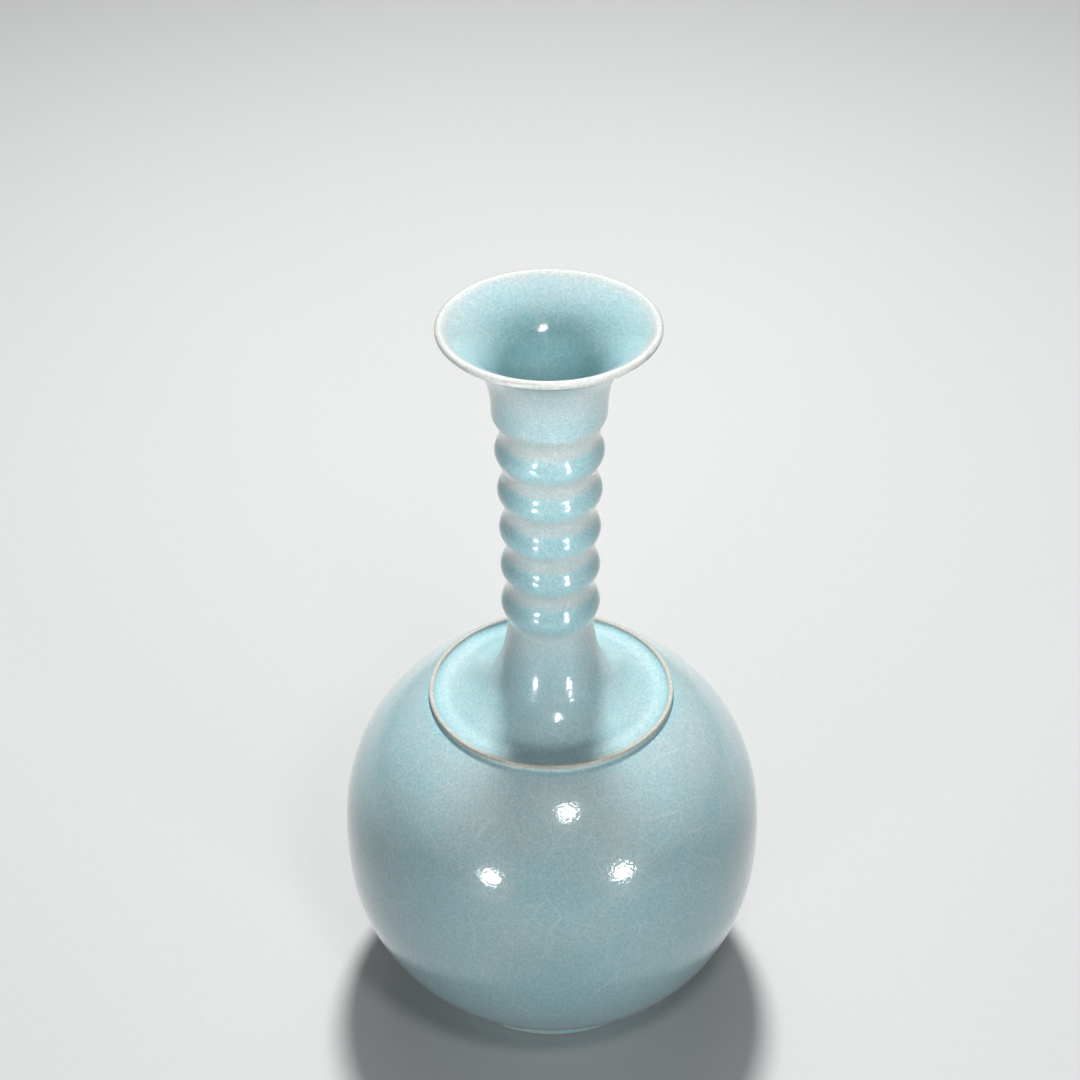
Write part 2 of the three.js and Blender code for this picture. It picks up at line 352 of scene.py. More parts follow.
# %% [markdown]
# ## Body
#
# The body is thrown as two bowls, because so wide a ball is hard to close in one piece. The dome is turned over and
# luted on the bowl at the widest circle. The glaze lies thin near the top, where it drained away, and thickens
# towards the foot. It is deepest in the corner above the foot ring.
#
# The inner faces are traced in steps. Each stops at its last step before the floor or the shoulder joint, and a
# straight line closes the rest. Those two hidden corners lie up to 3 mm from the plain ones, so the ring of slip at
# the shoulder is half in the clay. None of that shows from outside.

# %% Turn the bowl and the dome
body_steps = 56
inner_steps = 28
floor_height = foot_height + floor_thickness
bowl_inside = inside_of(body_radius, body_wall, heights(belly_height, foot_height, inner_steps))
bowl_inside = bowl_inside[bowl_inside[:, 1] > floor_height]
lower_body = turned("fine_lower_body", [
    glazed([(0, foot_height), (foot_inner_radius, foot_height)], 0.6, 0.9),
    channel(foot_inner_radius, foot_radius, foot_height, joint_channel_depth)[::-1],
    glazed(along(body_radius, heights(foot_height, belly_height, body_steps)), 0.80, 0.62, 0.58, 0.55,
           at=(0, 0.06, 0.4, 1)),
    channel(belly_inner_radius, belly_radius, belly_height, -joint_channel_depth),
    glazed(bowl_inside, 0.55),
    glazed([(bowl_inside[-1, 0], floor_height), (0, floor_height)], 0.7),
])

dome_inside = inside_of(body_radius, body_wall, heights(belly_height, shoulder_height, inner_steps))
dome_inside = dome_inside[dome_inside[:, 1] < shoulder_joint_height][::-1]
shoulder_outer_radius = float(body_radius(shoulder_joint_height))
shoulder_inner_radius = float(dome_inside[0, 0])
upper_body = turned("fine_upper_body", [
    channel(belly_inner_radius, belly_radius, belly_height, joint_channel_depth)[::-1],
    glazed(along(body_radius, heights(belly_height, shoulder_joint_height, body_steps)), 0.55, 0.52, 0.45, 0.42,
           at=(0, 0.4, 0.75, 1)),
    channel(shoulder_inner_radius, shoulder_outer_radius, shoulder_joint_height, -joint_channel_depth),
    glazed(np.vstack([(shoulder_inner_radius, shoulder_joint_height), dome_inside]), 0.5),
])

# %% [markdown]
# ## Shoulder dish
#
# The dish closes the body and carries the neck. Its upright edge is only two millimetres thick, with rounded
# corners. The glaze leaves that edge almost bare and is thicker in the hollows beside it: a small fillet outside, and
# the foot of the edge inside. From its low circle the dish climbs in a wide root, which turns up late into the smooth
# stem. Two cubic curves draw that sweep. They meet at a bend, where both run along one slope, so no crease is left.

# %% Turn the shoulder dish
fillet_steps, edge_steps, rise_steps, sweep_steps = 10, 6, 18, 36
edge_height = collar_top_height - collar_edge_radius
collar_wall_radius = collar_radius - collar_undercut
fillet_start = shoulder_height - collar_fillet / 2
fillet_radius = float(body_radius(fillet_start))
low_circle = (dish_low_radius, dish_height)
bend = np.array([bend_radius, dish_height + bend_rise])
down_slope = np.array([math.sin(bend_slope), -math.cos(bend_slope)])
stem_top = (stem_radius, neck_joint_height)
shoulder_dish = turned("fine_shoulder_dish", [
    channel(shoulder_inner_radius, shoulder_outer_radius, shoulder_joint_height, joint_channel_depth)[::-1],
    glazed(along(body_radius, heights(shoulder_joint_height, fillet_start, fillet_steps)), 0.42, 0.42, 0.5),
    glazed(swept((fillet_radius, fillet_start), (collar_wall_radius, shoulder_height),
                 (collar_wall_radius, shoulder_height), (collar_wall_radius, shoulder_height + collar_fillet),
                 fillet_steps), 0.5, 0.60, 0.20, 0.04, at=(0, 0.5, 0.85, 1)),
    glazed(arc(collar_radius - collar_edge_radius, edge_height, collar_edge_radius, 0, 0.25, edge_steps),
           0.03, 0.02),
    glazed(arc(collar_inner_radius + collar_edge_radius, edge_height, collar_edge_radius, 0.25, 0.5, edge_steps),
           0.02, 0.05),
    glazed(swept((collar_inner_radius, edge_height), (collar_inner_radius, edge_height - collar_inner_drop),
                 (dish_low_radius + dish_rise_handle, dish_height), low_circle, rise_steps),
           0.05, 0.56, 0.56, 0.48, 0.47, at=(0, 0.16, 0.28, 0.45, 1)),
    glazed(swept(low_circle, (dish_low_radius - dish_handle, dish_height), bend + below_bend_handle * down_slope,
                 bend, sweep_steps), 0.47, 0.50, 0.50),
    # Its last value, where the stem meets the neck, is the same grey painted sheen as under the ribs.
    glazed(swept(bend, bend - above_bend_handle * down_slope, (stem_radius, neck_joint_height - stem_handle),
                 stem_top, sweep_steps), 0.50, 0.49, 0.45, 0.37),
    channel(bore_radius, stem_radius, neck_joint_height, -joint_channel_depth),
    glazed(swept((bore_radius, neck_joint_height), (bore_radius, neck_joint_height - under_stem_handle),
                 (dish_under_radius - under_dish_handle, shoulder_joint_height),
                 (dish_under_radius, shoulder_joint_height), sweep_steps), 0.5),
])

# %% [markdown]
# ## Trumpet mouth
#
# The cup above the ribs flares to a rolled lip. The roll is narrow and curves away on both sides, so the glaze has
# drained off it and left a pale band. Just inside, the band fades over a few millimetres into clear blue glaze. The
# outside starts in the last groove of the neck, so its first millimetres are grey, painted sheen as under every rib. A
# soft blue band follows on the fullest part of the cup, and from there the glaze thins towards the lip.

# %% Turn the trumpet mouth
cup_steps, flare_steps, lip_steps = 14, 52, 20
flare_crowding = 1.6    # above 1, the heights crowd together towards the lip, where the flare turns fastest
cup_heights = heights(mouth_joint_height, cup_height, cup_steps)
flare_share = 1 - (1 - heights(0, 1, flare_steps)) ** flare_crowding
flare_heights = cup_height + (lip_under_height - cup_height) * flare_share[1:-1]
mouth_heights = np.concatenate([cup_heights, flare_heights])
lip_turn = lip_slope / (2 * math.pi)
mouth_inside = inside_of(plain_mouth_radius, mouth_wall, mouth_heights[1:])[::-1]
trumpet_mouth = turned("fine_trumpet_mouth", [
    channel(throat_radius, plain_joint_radius, mouth_joint_height, joint_channel_depth)[::-1],
    # Its first two values paint the sheen of the last groove as thin grey glaze.
    glazed(along(mouth_radius, mouth_heights), 0.33, 0.33, 0.47, 0.49, 0.42, 0.40, 0.34, 0.27,
           at=(0, 0.10, 0.19, 0.28, 0.37, 0.7, 0.92, 1)),
    glazed(arc(lip_centre_radius, lip_height, lip_roll_radius, lip_turn - 0.25, lip_turn + 0.25, lip_steps),
           0.27, 0.20, 0.12, 0.11, 0.18),
    glazed(mouth_inside, 0.18, 0.36, 0.44, 0.50, 0.50, 0.44, 0.40, at=(0, 0.035, 0.08, 0.25, 0.55, 0.8, 1)),
    glazed([(throat_radius, mouth_joint_height)], 0.40),
])

# %% [markdown]
# ## Ribbed neck
#
# The potter throws a plain tube and then presses round grooves into its outside, which leaves five string ribs. The
# lesson does the same. The tube is turned from an outline, and a Geometry Nodes tree presses the ribs by the rule
# above. Every size of the rule is an input with a name, so deeper or rounder grooves are one change.
# The tree also lays the glaze: thick and blue on each crest, and thin and grey in the groove and on the underside of
# the rib above it. That grey is painted sheen, the pale reflection that the glaze shows there.

# %% Throw the plain tube
tube_steps = 168
bore_steps = 24
neck_around = 192
tube_radius = (stem_radius + cup_radius) / 2


def bore_at(height):
    share = np.maximum(height - throat_height, 0) / throat_length
    return bore_radius + (throat_radius - bore_radius) * share ** 2


plain_tube = turned("fine_ribbed_neck", [
    channel(bore_radius, stem_radius, neck_joint_height, joint_channel_depth)[::-1],
    glazed(along(lambda height: np.full_like(height, tube_radius),
                 heights(neck_joint_height, mouth_joint_height, tube_steps)), 0.5),
    channel(throat_radius, plain_joint_radius, mouth_joint_height, -joint_channel_depth),
    glazed(along(bore_at, heights(mouth_joint_height, neck_joint_height, bore_steps)), 0.4),
], around=neck_around)

# %% [markdown]
# One small function adds a node, sets it up and links it. It serves the shape of the neck here and every material
# later, so the recipes below read from top to bottom.

# %% A function that adds any node
def add_node(tree, kind, inputs=None, **settings):
    """Adds a node. Each input is a value, an output socket, or a node, which stands for its first output."""
    node = tree.nodes.new(kind)
    for setting, value in settings.items():
        setattr(node, setting, value)
    for socket, value in (inputs or {}).items():
        if isinstance(value, bpy.types.Node):
            value = next(output for output in value.outputs if output.enabled)
        if isinstance(value, bpy.types.NodeSocket):
            tree.links.new(value, node.inputs[socket])
        else:
            node.inputs[socket].default_value = value
    return node


# %% The inputs of the rib tree
rib_tree = bpy.data.node_groups.new("press_string_ribs", "GeometryNodeTree")
rib_tree.interface.new_socket("Geometry", in_out="INPUT", socket_type="NodeSocketGeometry")
rib_tree.interface.new_socket("Geometry", in_out="OUTPUT", socket_type="NodeSocketGeometry")
rib_sizes = {
    "Foot Of Neck": neck_joint_height,
    "Lowest Crest Height": lowest_rib_height,
    "Rib Pitch": rib_pitch,
    "Rib Count": float(string_ribs),
    "Stem Radius": stem_radius,
    "Lowest Crest Radius": lowest_rib_radius,
    "Crest Growth": cup_step,
    "Middle Dip": RIB_MIDDLE * 4,
    "Groove Depth": rib_depth,
    "Groove Roundness": RIB_ROUND,
    "Bore Limit": tube_radius - MM,
}
rib_sockets = {title: rib_tree.interface.new_socket(title, in_out="INPUT", socket_type="NodeSocketFloat")
               for title in rib_sizes}
rib_sockets["Glaze"] = rib_tree.interface.new_socket("Glaze", in_out="INPUT", socket_type="NodeSocketMaterial")
given = rib_tree.nodes.new("NodeGroupInput").outputs
print("the rib tree has", len(rib_sockets), "named inputs")

# %% [markdown]
# First the tree measures how many pitches above the lowest crest a point is. The cosine of that gives the wave of
# the ribs, and its share of the whole neck gives the radius of the nearest crests.

# %% The wave of the ribs
place = add_node(rib_tree, "ShaderNodeSeparateXYZ", {0: add_node(rib_tree, "GeometryNodeInputPosition")})
rise = add_node(rib_tree, "ShaderNodeMath", {0: place.outputs["Z"], 1: given["Lowest Crest Height"]},
                operation="SUBTRACT")
turn = add_node(rib_tree, "ShaderNodeMath", {0: rise, 1: given["Rib Pitch"]}, operation="DIVIDE")
full_turn = add_node(rib_tree, "ShaderNodeMath", {0: turn, 1: 2 * math.pi}, operation="MULTIPLY")
cosine = add_node(rib_tree, "ShaderNodeMath", {0: full_turn}, operation="COSINE")
wave = add_node(rib_tree, "ShaderNodeMath", {0: cosine, 1: 0.5, 2: 0.5}, operation="MULTIPLY_ADD")
round_wave = add_node(rib_tree, "ShaderNodeMath", {0: wave, 1: given["Groove Roundness"]}, operation="POWER")
share = add_node(rib_tree, "ShaderNodeMath", {0: turn, 1: given["Rib Count"]}, operation="DIVIDE", use_clamp=True)
share_left = add_node(rib_tree, "ShaderNodeMath", {0: 1.0, 1: share}, operation="SUBTRACT")
bow = add_node(rib_tree, "ShaderNodeMath", {0: share, 1: share_left}, operation="MULTIPLY")
dip = add_node(rib_tree, "ShaderNodeMath", {0: bow, 1: given["Middle Dip"]}, operation="MULTIPLY")
growth = add_node(rib_tree, "ShaderNodeMath", {0: share, 1: dip}, operation="SUBTRACT")
crest = add_node(rib_tree, "ShaderNodeMath",
                 {0: growth, 1: given["Crest Growth"], 2: given["Lowest Crest Radius"]}, operation="MULTIPLY_ADD")
pressed = add_node(rib_tree, "ShaderNodeMath", {0: 1.0, 1: round_wave}, operation="SUBTRACT")
groove = add_node(rib_tree, "ShaderNodeMath", {0: pressed, 1: given["Groove Depth"]}, operation="MULTIPLY")
ribbed_radius = add_node(rib_tree, "ShaderNodeMath", {0: crest, 1: groove}, operation="SUBTRACT")

# %% [markdown]
# Below the lowest crest there is no full groove. The rib runs out into the stem in half a wave, as long as the foot
# of the neck is high.

# %% The foot of the ribs
foot_length = add_node(rib_tree, "ShaderNodeMath", {0: given["Foot Of Neck"], 1: given["Lowest Crest Height"]},
                       operation="SUBTRACT")
drop = add_node(rib_tree, "ShaderNodeMath", {0: rise, 1: foot_length}, operation="DIVIDE", use_clamp=True)
half_turn = add_node(rib_tree, "ShaderNodeMath", {0: drop, 1: math.pi}, operation="MULTIPLY")
foot_cosine = add_node(rib_tree, "ShaderNodeMath", {0: half_turn}, operation="COSINE")
foot_wave = add_node(rib_tree, "ShaderNodeMath", {0: foot_cosine, 1: 0.5, 2: 0.5}, operation="MULTIPLY_ADD")
foot_round = add_node(rib_tree, "ShaderNodeMath", {0: foot_wave, 1: given["Groove Roundness"]}, operation="POWER")
foot_step = add_node(rib_tree, "ShaderNodeMath", {0: given["Lowest Crest Radius"], 1: given["Stem Radius"]},
                     operation="SUBTRACT")
foot_of_rib = add_node(rib_tree, "ShaderNodeMath", {0: foot_round, 1: foot_step, 2: given["Stem Radius"]},
                       operation="MULTIPLY_ADD")
is_foot = add_node(rib_tree, "FunctionNodeCompare", {0: rise, 1: 0.0}, data_type="FLOAT", operation="LESS_THAN")
new_radius = add_node(rib_tree, "GeometryNodeSwitch", {0: is_foot, 1: ribbed_radius, 2: foot_of_rib},
                      input_type="FLOAT")

# %% [markdown]
# The glaze comes first, while the outside of the tube is still one cylinder, wider than the bore all the way up, and
# can be told from the bore by its radius. It is thickest just above each crest, so its wave is shifted up by a part of
# a turn. The wave is cut off at both ends, which makes the blue and the grey bands broad, with a soft change between
# them. The blue is the glaze's own colour, and the grey in the grooves, under each rib and on the stem is painted
# sheen. Then the points of the outside move to the new radius, and the bore stays as it was thrown.

# %% Lay the glaze and press the ribs
outward = add_node(rib_tree, "ShaderNodeCombineXYZ", {0: place.outputs["X"], 1: place.outputs["Y"]})
distance = add_node(rib_tree, "ShaderNodeVectorMath", {0: outward}, operation="LENGTH").outputs["Value"]
direction = add_node(rib_tree, "ShaderNodeVectorMath", {0: outward}, operation="NORMALIZE")
is_outside = add_node(rib_tree, "FunctionNodeCompare", {0: distance, 1: given["Bore Limit"]}, data_type="FLOAT",
                      operation="GREATER_THAN")

GLAZE_RISE = 0.115
# The groove and stem values paint sheen as thin grey glaze, and the crest value is the glaze's own blue.
GROOVE_SHEEN_GREY, STEM_SHEEN_GREY, CREST_GLAZE = 0.33, 0.37, 0.60
GROOVE_SIDE, CREST_SIDE = -0.62, 0.75
late_turn = add_node(rib_tree, "ShaderNodeMath", {0: full_turn, 1: 2 * math.pi * GLAZE_RISE}, operation="SUBTRACT")
late_cosine = add_node(rib_tree, "ShaderNodeMath", {0: late_turn}, operation="COSINE")
flank_glaze_and_sheen = add_node(rib_tree, "ShaderNodeMapRange", {
    0: late_cosine, 1: GROOVE_SIDE, 2: CREST_SIDE, 3: GROOVE_SHEEN_GREY, 4: CREST_GLAZE}, interpolation_type="SMOOTHSTEP")
foot_glaze_and_sheen = add_node(rib_tree, "ShaderNodeMapRange", {0: foot_wave, 1: 0.5, 2: 1.0, 3: STEM_SHEEN_GREY, 4: CREST_GLAZE})
rib_glaze_and_sheen = add_node(rib_tree, "GeometryNodeSwitch", {0: is_foot, 1: flank_glaze_and_sheen, 2: foot_glaze_and_sheen},
                     input_type="FLOAT")
stored = add_node(rib_tree, "GeometryNodeStoreNamedAttribute",
                  {0: given["Geometry"], "Selection": is_outside, "Name": "glaze", "Value": rib_glaze_and_sheen},
                  data_type="FLOAT", domain="POINT")

moved = add_node(rib_tree, "ShaderNodeVectorMath", {0: direction, "Scale": new_radius}, operation="SCALE")
level = add_node(rib_tree, "ShaderNodeCombineXYZ", {2: place.outputs["Z"]})
pressed_place = add_node(rib_tree, "ShaderNodeVectorMath", {0: moved, 1: level})
pressed_tube = add_node(rib_tree, "GeometryNodeSetPosition",
                        {0: stored, "Selection": is_outside, "Position": pressed_place})
realized = add_node(rib_tree, "GeometryNodeRealizeInstances", {0: pressed_tube})
print("the rib tree has", len(rib_tree.nodes), "nodes so far")

# %% [markdown]
# ## Glaze
#
# The glaze is celadon: a glassy coat, 0.3 mm thick or more, coloured blue-green by a trace of iron in a kiln that was
# kept short of air. It is a glass over a pale body, so it is drawn as a coloured, slightly satin ground under a clear
# coat with the index of glass. The colour follows the thickness: the buff of the clay where it has run off, off-white
# under a thin film, pale grey where it is a little thicker, blue-green on the walls and deeper blue where it has
# pooled. On the ribbed neck and the foot of the mouth the pale grey also paints sheen, the pale reflection of the
# glaze.

# %% Colours of the glaze
def linear(hex_colour):
    """An sRGB hex colour as the linear values that the shader reads."""
    channels = [int(hex_colour[i:i + 2], 16) / 255 for i in (1, 3, 5)]
    return [c / 12.92 if c <= 0.04045 else ((c + 0.055) / 1.055) ** 2.4 for c in channels] + [1.0]


BARE_EDGE_BUFF = linear("#B8B7AC")
RUN_OFF_WHITE = linear("#D6D9D6")
# Thin grey glaze, and also the painted sheen of the neck's grooves and rib undersides.
THIN_GREY_AND_SHEEN = linear("#BECACA")
CELADON_BLUE = linear("#A4CDD3")
POOLED_BLUE = linear("#86C2D2")
CRACK_PALE = linear("#DCE9E8")

# %% [markdown]
# The glaze never lies quite even. Two soft noises, 40 mm and 7 mm across, vary its thickness by a tenth or so before
# the colour is looked up, so the edges of the pale bands wander as they do on the real pot.

# %% Thickness and colour
celadon = bpy.data.materials.new("celadon_glaze_dipped")
celadon.use_nodes = True
glaze_tree = celadon.node_tree
glaze_tree.nodes.clear()
object_place = add_node(glaze_tree, "ShaderNodeTexCoord").outputs["Object"]
thickness = add_node(glaze_tree, "ShaderNodeAttribute", attribute_name="glaze").outputs["Fac"]


def soft_noise(tree, vector, size, detail):
    return add_node(tree, "ShaderNodeTexNoise", {"Vector": vector, "Scale": 1 / size, "Detail": detail})


def share_around_one(noise, spread):
    """Turns a noise, which mostly stays between 0.3 and 0.7, into a factor from 1 - spread to 1 + spread."""
    return add_node(glaze_tree, "ShaderNodeMapRange", {0: noise, 1: 0.3, 2: 0.7, 3: 1 - spread, 4: 1 + spread})


cloud_share = share_around_one(soft_noise(glaze_tree, object_place, 40 * MM, 2.0), 0.12)
ripple_share = share_around_one(soft_noise(glaze_tree, object_place, 7 * MM, 3.0), 0.07)
cloudy = add_node(glaze_tree, "ShaderNodeMath", {0: thickness, 1: cloud_share}, operation="MULTIPLY")
uneven = add_node(glaze_tree, "ShaderNodeMath", {0: cloudy, 1: ripple_share}, operation="MULTIPLY")
by_thickness = add_node(glaze_tree, "ShaderNodeValToRGB", {0: uneven})
ramp = by_thickness.color_ramp
ramp.elements[0].position, ramp.elements[0].color = 0.0, BARE_EDGE_BUFF
ramp.elements[1].position, ramp.elements[1].color = 1.0, POOLED_BLUE
for position, colour in ((0.14, RUN_OFF_WHITE), (0.30, THIN_GREY_AND_SHEEN), (0.53, CELADON_BLUE)):
    ramp.elements.new(position).color = colour
print("the glaze passes through", len(ramp.elements), "colours as it thickens")

# %% [markdown]
# Crackle comes from cooling: the glaze shrinks more than the clay and splits into cells. On this vase the fine cells
# are about 3 mm wide, and a second net of long cracks, 17 mm apart, shows a little more. A Voronoi texture gives the
# distance to the nearest cell edge, and only the thin band along the edge is kept. A noise bends the place that is
# looked up, so the lines wander. A real crack is a few hundredths of a millimetre wide, far too fine for a picture of
# the whole vase, so it is drawn about 0.3 mm wide and faint.

# %% Crackle
def crack_lines(cell, width, strength, wander):
    """Lines along the edges of cells of the given size, with the given width and strength."""
    bent = add_node(glaze_tree, "ShaderNodeTexNoise", {"Vector": object_place, "Scale": 1 / (3 * cell)})
    bend = add_node(glaze_tree, "ShaderNodeVectorMath", {0: bent.outputs["Color"], 1: (0.5, 0.5, 0.5)},
                    operation="SUBTRACT")
    shift = add_node(glaze_tree, "ShaderNodeVectorMath", {0: bend, "Scale": wander * cell},
                     operation="SCALE")
    place_bent = add_node(glaze_tree, "ShaderNodeVectorMath", {0: object_place, 1: shift})
    cells = add_node(glaze_tree, "ShaderNodeTexVoronoi", {"Vector": place_bent, "Scale": 1 / cell},
                     feature="DISTANCE_TO_EDGE")
    return add_node(glaze_tree, "ShaderNodeMapRange",
                    {0: cells, 1: 0.0, 2: width / cell, 3: strength, 4: 0.0})


fine_cracks = crack_lines(cell=3.2 * MM, width=0.30 * MM, strength=0.18, wander=0.6)
long_cracks = crack_lines(cell=17 * MM, width=0.34 * MM, strength=0.34, wander=0.5)
cracks = add_node(glaze_tree, "ShaderNodeMath", {0: fine_cracks, 1: long_cracks}, operation="MAXIMUM")
crackled = add_node(glaze_tree, "ShaderNodeMix", {0: cracks, 6: by_thickness, 7: CRACK_PALE},
                    data_type="RGBA")
print("the glaze has", len(glaze_tree.nodes), "nodes with its two nets of cracks")

# %% [markdown]
# Under the gloss the glaze is full of tiny bubbles, which give it a fine grain of lighter and darker points. They are
# 0.1 mm in the real glaze and drawn 0.9 mm here, the smallest grain that the picture can show.

# %% Bubble grain
grain_light = share_around_one(soft_noise(glaze_tree, object_place, 0.9 * MM, 2.0), 0.12)
grain_colour = add_node(glaze_tree, "ShaderNodeCombineColor", {0: grain_light, 1: grain_light, 2: grain_light})
glaze_colour = add_node(glaze_tree, "ShaderNodeMix", {0: 1.0, 6: crackled, 7: grain_colour}, data_type="RGBA",
                        blend_type="MULTIPLY")

# %% [markdown]
# The surface of the glass isn't flat either. It has a fine orange-peel ripple, 1.3 mm from crest to crest and a few
# hundredths of a millimetre high. That is what breaks the edge of each highlight into sparks.

# %% Ripple and gloss
peel = soft_noise(glaze_tree, object_place, 1.3 * MM, 1.0)
peel_bump = add_node(glaze_tree, "ShaderNodeBump", {"Height": peel, "Distance": 0.06 * MM, "Strength": 1.0})
glaze_surface = add_node(glaze_tree, "ShaderNodeBsdfPrincipled", {
    "Base Color": glaze_colour, "Metallic": 0.0, "Roughness": 0.32, "IOR": 1.5, "Specular IOR Level": 0.3,
    "Coat Weight": 1.0, "Coat Roughness": 0.07, "Coat IOR": 1.5, "Normal": peel_bump, "Coat Normal": peel_bump})
add_node(glaze_tree, "ShaderNodeOutputMaterial", {"Surface": glaze_surface})
print("the glaze has", len(glaze_tree.nodes), "nodes")

# %% [markdown]
# ## Bare clay and slip
#
# Where it isn't glazed, the stoneware is a warm buff, dry and slightly sandy, with grains of sand about 0.4 mm
# across that show as darker points and a soft roughness. The standing rim shows it, and so do the hidden faces of
# the joints. The slip in the joints is the same clay without the sand, thinned with water, so it dries paler and
# smoother.

# %% Clay and slip
def fired_clay(name, colour, dark_colour, grain_size, bump_height, roughness):
    """Unglazed clay, with darker spots and a sandy surface that stands up by the bump height."""
    clay = bpy.data.materials.new(name)
    clay.use_nodes = True
    tree = clay.node_tree
    tree.nodes.clear()
    clay_place = add_node(tree, "ShaderNodeTexCoord").outputs["Object"]
    sand = soft_noise(tree, clay_place, grain_size, 4.0)
    tone = soft_noise(tree, clay_place, 20 * grain_size, 2.0)
    mixed = add_node(tree, "ShaderNodeMath", {0: sand, 1: tone}, operation="MULTIPLY")
    darkest, palest = 0.12, 0.38    # the product of the two noises mostly stays between these
    amount = add_node(tree, "ShaderNodeMapRange", {0: mixed, 1: darkest, 2: palest})
    clay_colour = add_node(tree, "ShaderNodeMix", {0: amount, 6: linear(dark_colour), 7: linear(colour)},
                           data_type="RGBA")
    sand_bump = add_node(tree, "ShaderNodeBump", {"Height": sand, "Distance": bump_height})
    surface = add_node(tree, "ShaderNodeBsdfPrincipled", {
        "Base Color": clay_colour, "Roughness": roughness, "IOR": 1.5, "Specular IOR Level": 0.25,
        "Normal": sand_bump})
    add_node(tree, "ShaderNodeOutputMaterial", {"Surface": surface})
    return clay


biscuit = fired_clay("stoneware_biscuit_turned", "#C9B79C", "#A8957B", 0.4 * MM, 0.12 * MM, 0.85)
slip = fired_clay("luting_slip_dried", "#D3C8B6", "#BFB29E", 0.8 * MM, 0.05 * MM, 0.9)
print("clay materials:", biscuit.name, "and", slip.name)

# %% [markdown]
# ## Finish the neck and dress every piece
#
# The rib tree ends in Realize Instances and Set Material, which gives the glaze to the faces that aren't bare clay.
# Its inputs are set by the identifier of each socket before the tube is first evaluated, and the result becomes a
# plain mesh. Then the modifier has done its work and goes.

# %% Run the rib tree and keep its result
material_index = add_node(rib_tree, "GeometryNodeInputMaterialIndex")
is_glazed = add_node(rib_tree, "FunctionNodeCompare", {2: material_index, 3: 0}, data_type="INT", operation="EQUAL")
dressed = add_node(rib_tree, "GeometryNodeSetMaterial",
                   {0: realized, "Selection": is_glazed, "Material": given["Glaze"]})
add_node(rib_tree, "NodeGroupOutput", {0: dressed})
plain_tube.data.materials.append(celadon)
plain_tube.data.materials.append(biscuit)
pressing = plain_tube.modifiers.new("press_string_ribs", "NODES")
pressing.node_group = rib_tree
for title, size in rib_sizes.items():
    pressing[rib_sockets[title].identifier] = size
pressing[rib_sockets["Glaze"].identifier] = celadon
evaluated = plain_tube.evaluated_get(bpy.context.evaluated_depsgraph_get())
ribbed_mesh = bpy.data.meshes.new_from_object(evaluated)
plain_tube.modifiers.clear()
plain_tube.data = ribbed_mesh
ribbed_neck = plain_tube
widest = max(math.hypot(v.co.x, v.co.y) for v in ribbed_mesh.vertices)
print("the ribbed neck has", len(ribbed_mesh.polygons), "faces and its widest crest is", round(widest / MM, 2), "mm")

# %% Give each piece its place and its finish, and hide the plain piece it stands for
sections = {
    "foot_ring": foot_ring,
    "lower_body": lower_body,
    "upper_body": upper_body,
    "shoulder_dish": shoulder_dish,
    "ribbed_neck": ribbed_neck,
    "trumpet_mouth": trumpet_mouth,
}
for node, piece in sections.items():
    if not piece.data.materials:
        piece.data.materials.append(celadon)
        piece.data.materials.append(biscuit)
    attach(piece, "root")
    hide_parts(node)
for joint in ("foot", "belly", "shoulder", "neck", "mouth"):
    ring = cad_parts[joint + "_slip_joint"]
    ring.data.materials.clear()
    ring.data.materials.append(slip)
print("dressed", len(sections), "sections and 5 slip joints")

# %% [markdown]
# ## Floor and light
#
# The vase stands on a plain pale floor, a sheet of matt paper. The camera and the gloss of the glaze see the paper's
# own colour. For the light that it throws back on the vase the paper counts as dark grey, so the low side of the body
# keeps its shade.

# %% Floor
PAPER_PALE, PAPER_FIBRE, PAPER_BOUNCE = linear("#D2D3D3"), linear("#CDCECE"), linear("#303030")
floor_mesh = bpy.data.meshes.new("floor")
floor_reach = 6.0
floor_mesh.from_pydata([(-floor_reach, -floor_reach, 0), (floor_reach, -floor_reach, 0),
                        (floor_reach, floor_reach, 0), (-floor_reach, floor_reach, 0)], [], [(0, 1, 2, 3)])
floor = bpy.data.objects.new("floor", floor_mesh)
bpy.context.scene.collection.objects.link(floor)
floor_paper = bpy.data.materials.new("floor_paper_matt")
floor_paper.use_nodes = True
paper_tree = floor_paper.node_tree
paper_tree.nodes.clear()
paper_place = add_node(paper_tree, "ShaderNodeTexCoord").outputs["Object"]
fibres = soft_noise(paper_tree, paper_place, 4 * MM, 3.0)
paper_tone = add_node(paper_tree, "ShaderNodeMix", {0: fibres, 6: PAPER_FIBRE, 7: PAPER_PALE}, data_type="RGBA")
ray = add_node(paper_tree, "ShaderNodeLightPath").outputs
seen = add_node(paper_tree, "ShaderNodeMath", {0: ray["Is Camera Ray"], 1: ray["Is Glossy Ray"]},
                operation="MAXIMUM")
seen_at_all = add_node(paper_tree, "ShaderNodeMath", {0: seen, 1: ray["Is Transmission Ray"]}, operation="MAXIMUM")
paper_colour = add_node(paper_tree, "ShaderNodeMix", {0: seen_at_all, 6: PAPER_BOUNCE, 7: paper_tone},
                        data_type="RGBA")
paper_surface = add_node(paper_tree, "ShaderNodeBsdfPrincipled", {
    "Base Color": paper_colour, "Roughness": 0.9, "Specular IOR Level": 0.2})
add_node(paper_tree, "ShaderNodeOutputMaterial", {"Surface": paper_surface})
floor_mesh.materials.append(floor_paper)
print("the floor reaches", floor_reach, "metres each way")

# %% [markdown]
# A strong lamp high behind the vase lights the shoulder, the dish and the lip, and two weak ones beside it soften its
# shadows. Three lamps in front give the three round highlights of the glaze, one high and two low, and each faces the
# place on the body where its highlight lies. A narrow beam lifts the neck a little. A lamp whose highlight the real
# vase doesn't show isn't mirrored: glossy rays don't see it. Each lamp's power is worked out from its brightness and
# its area, so its highlight is as bright at any size.

